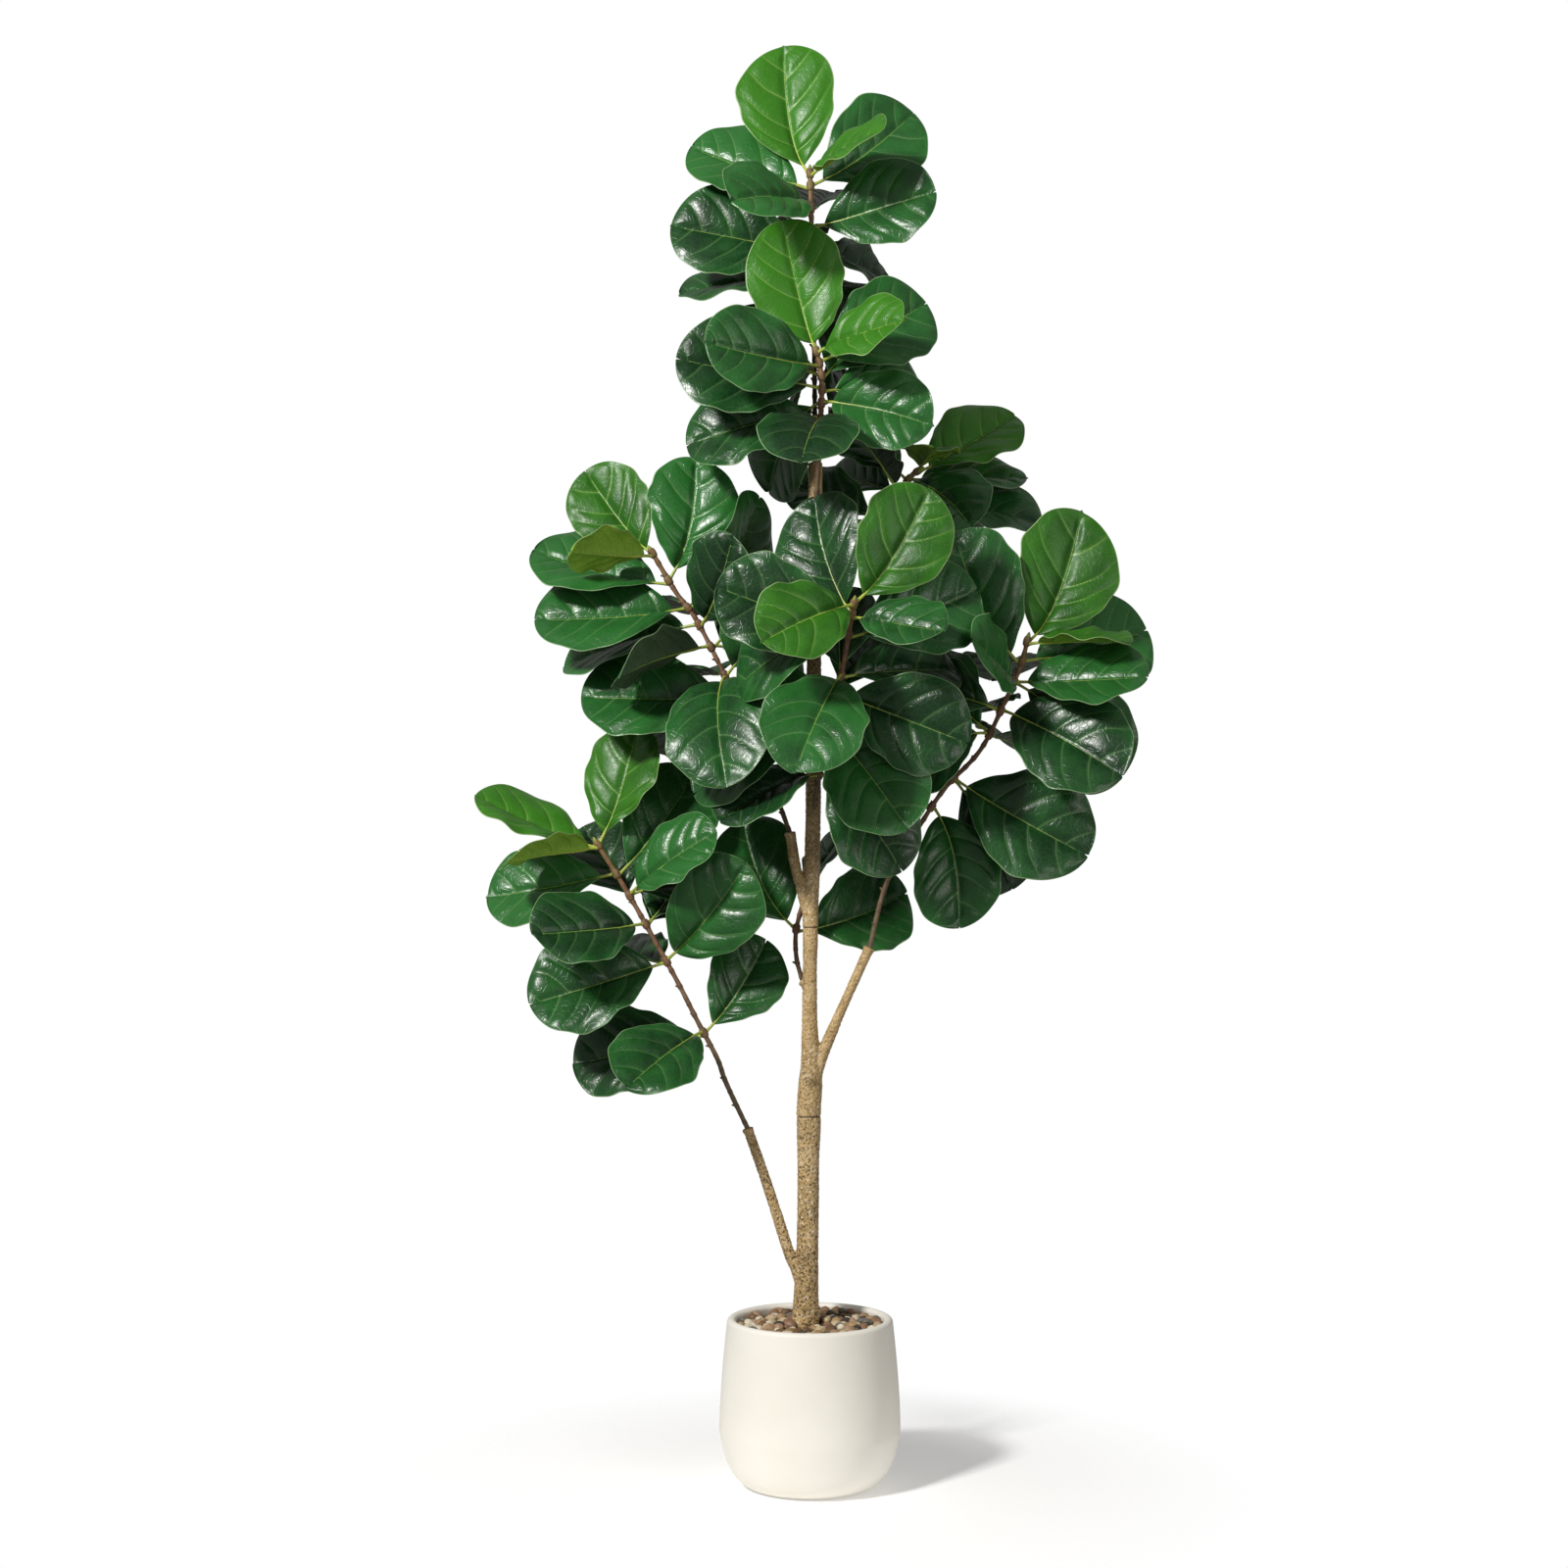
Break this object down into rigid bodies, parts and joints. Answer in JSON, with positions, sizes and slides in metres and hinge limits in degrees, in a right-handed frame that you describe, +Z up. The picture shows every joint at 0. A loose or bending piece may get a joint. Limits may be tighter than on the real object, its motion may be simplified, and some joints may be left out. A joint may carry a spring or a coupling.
{
  "type": "potted fiddle leaf fig",
  "caption": "Tall moulded fiddle leaf fig with a branching trunk and broad glossy leaves, standing in a smooth rounded planter topped with river pebbles.",
  "frame": {"origin": "centre of the planter's flat underside, on the surface it stands on", "axes": "+Z up along the trunk, front towards -Y, +X to the right seen from the front"},
  "size_m": [0.8615, 0.4754, 1.839],
  "materials": {
    "pot": "smooth matt cream glaze-like surface",
    "cement": "rough cast grey cement",
    "pebbles": "mixed brown, tan and grey river pebbles",
    "bark": "moulded tan bark with dark flecks and ridges",
    "stem": "thin brown to reddish stem coating",
    "leaf_mature": "glossy dark green upper side with pale veins, matt grey-green underside",
    "leaf_young": "satin bright green upper side with pale veins, yellow-green underside"
  },
  "bodies": {
    "root": {"back_right_leaves_1": "leaf_young", "back_right_leaves_2": "leaf_mature", "back_right_leaves_3": "leaf_mature", "back_right_leaves_4": "leaf_mature", "back_right_stem": "stem", "crown_leaves_1": "leaf_young", "crown_leaves_2": "leaf_mature", "crown_leaves_3": "leaf_mature", "crown_leaves_4": "leaf_mature", "crown_leaves_5": "leaf_mature", "crown_leaves_6": "leaf_mature", "crown_stem": "stem", "front_leaves_1": "leaf_young", "front_leaves_2": "leaf_mature", "front_leaves_3": "leaf_mature", "front_leaves_4": "leaf_mature", "front_leaves_5": "leaf_mature", "front_leaves_6": "leaf_mature", "front_leaves_7": "leaf_mature", "front_stem": "stem", "inner_leaves_1": "leaf_mature", "inner_leaves_2": "leaf_mature", "inner_twig": "stem", "leader_leaves_1": "leaf_young", "leader_leaves_2": "leaf_mature", "leader_leaves_3": "leaf_mature", "leader_leaves_4": "leaf_mature", "leader_leaves_5": "leaf_mature", "leader_leaves_6": "leaf_mature", "leader_stem": "stem", "lower_left_leaves_1": "leaf_young", "lower_left_leaves_2": "leaf_mature", "lower_left_leaves_3": "leaf_mature", "lower_left_leaves_4": "leaf_mature", "lower_left_leaves_5": "leaf_mature", "lower_left_leaves_6": "leaf_mature", "lower_left_stem": "stem", "pebble_bed": "pebbles", "pot": "pot", "right_leaves_1": "leaf_young", "right_leaves_2": "leaf_mature", "right_leaves_3": "leaf_mature", "right_leaves_4": "leaf_mature", "right_leaves_5": "leaf_mature", "right_leaves_6": "leaf_mature", "right_leaves_7": "leaf_mature", "right_stem": "stem", "trunk_lower": "bark", "trunk_middle": "bark", "trunk_upper": "bark", "upper_left_leaves_1": "leaf_young", "upper_left_leaves_2": "leaf_mature", "upper_left_leaves_3": "leaf_mature", "upper_left_leaves_4": "leaf_mature", "upper_left_leaves_5": "leaf_mature", "upper_left_leaves_6": "leaf_mature", "upper_left_leaves_7": "leaf_mature", "upper_left_stem": "stem", "weighted_base": "cement"}
  },
  "joints": []
}
